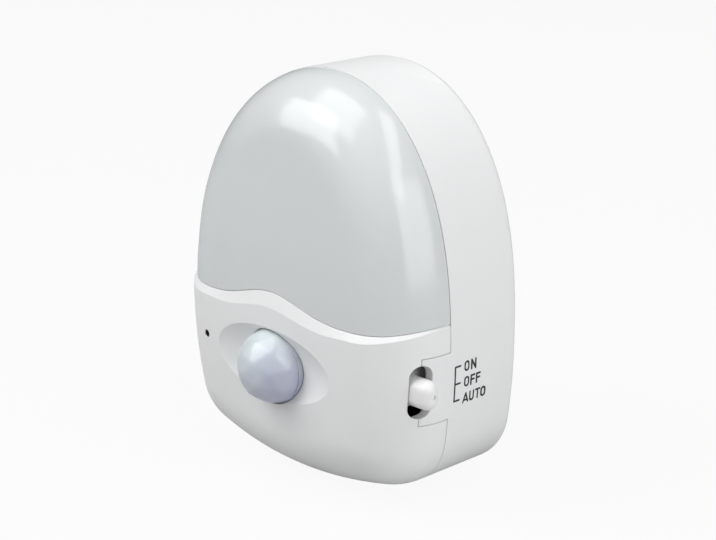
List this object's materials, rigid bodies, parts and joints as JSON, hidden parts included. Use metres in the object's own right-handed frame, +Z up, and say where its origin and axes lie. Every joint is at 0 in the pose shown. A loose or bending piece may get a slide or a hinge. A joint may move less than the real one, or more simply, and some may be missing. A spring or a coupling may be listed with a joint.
{
  "type": "plug-in night light",
  "caption": "Plug-in night light: arched white case, milky diffuser above a wavy edge, domed motion-sensor lens in a scoop, slide switch in the side wall, flat plug behind.",
  "frame": {"origin": "on the wall face of the case, midway between the two plug pins", "axes": "+Z up when plugged in; +Y into the wall, along the pins; -Y towards the room; +X to the right as seen from the room, where the switch is"},
  "size_m": [0.087, 0.086, 0.1048],
  "materials": {
    "housing": "fine satin, moulded white",
    "cover": "fine satin, moulded white",
    "diffuser": "milky, smooth",
    "lens": "milky, faceted",
    "knob": "smooth white",
    "pin": "satin nickel plate",
    "sleeve": "dark insulating plastic",
    "clamp": "plain moulded plastic",
    "screw": "zinc plate",
    "board": "green solder mask",
    "led_board": "white solder mask",
    "reflector": "matt white",
    "led": "clear gel over a yellow phosphor",
    "film_capacitor": "dipped red-brown",
    "can": "dark printed film",
    "chip": "black moulding compound",
    "varistor": "blue dipped",
    "resistor": "beige lacquer",
    "sensor_can": "drawn metal can",
    "sensor_window": "dark filter window",
    "photocell": "sintered face",
    "black_tube": "black sleeve",
    "switch_case": "pressed tin plate",
    "switch_base": "black phenolic",
    "slider": "black moulded",
    "contact": "spring brass",
    "wire_live": "brown insulation",
    "wire_neutral": "blue insulation",
    "wire_low": "white insulation"
  },
  "bodies": {
    "case": {"axial_resistors": "resistor", "bridge_rectifier": "chip", "case_screws": "screw", "diffuser": "diffuser", "driver_transistor": "chip", "dropper_capacitor": "film_capacitor", "front_cover": "cover", "led_board": "led_board", "led_board_screws": "screw", "led_wires": "wire_low", "leds": "led", "lens_retainer": "clamp", "live_wire": "wire_live", "motion_controller": "chip", "neutral_wire": "wire_neutral", "photocell": "photocell", "photocell_sleeve": "black_tube", "pin_clamp": "clamp", "pin_clamp_screw": "screw", "pin_sleeve_live": "sleeve", "pin_sleeve_neutral": "sleeve", "pir_lens": "lens", "pir_sensor": "sensor_can", "pir_window": "sensor_window", "plug_pin_live": "pin", "plug_pin_neutral": "pin", "power_board": "board", "power_board_screws": "screw", "rear_housing": "housing", "reflector": "reflector", "sensor_board": "board", "sensor_board_screws": "screw", "sensor_wires": "wire_low", "smoothing_capacitor": "can", "switch_base": "switch_base", "switch_body": "switch_case", "switch_terminals": "pin", "varistor": "varistor", "voltage_regulator": "chip"},
    "slider": {"switch_contact": "contact", "switch_knob": "knob", "switch_slider": "slider"}
  },
  "joints": [
    {"name": "mode_switch", "type": "slide", "parent": "case", "child": "slider", "axis": [0, 0, 1], "range_m": [-0.0022, 0.0022]}
  ]
}
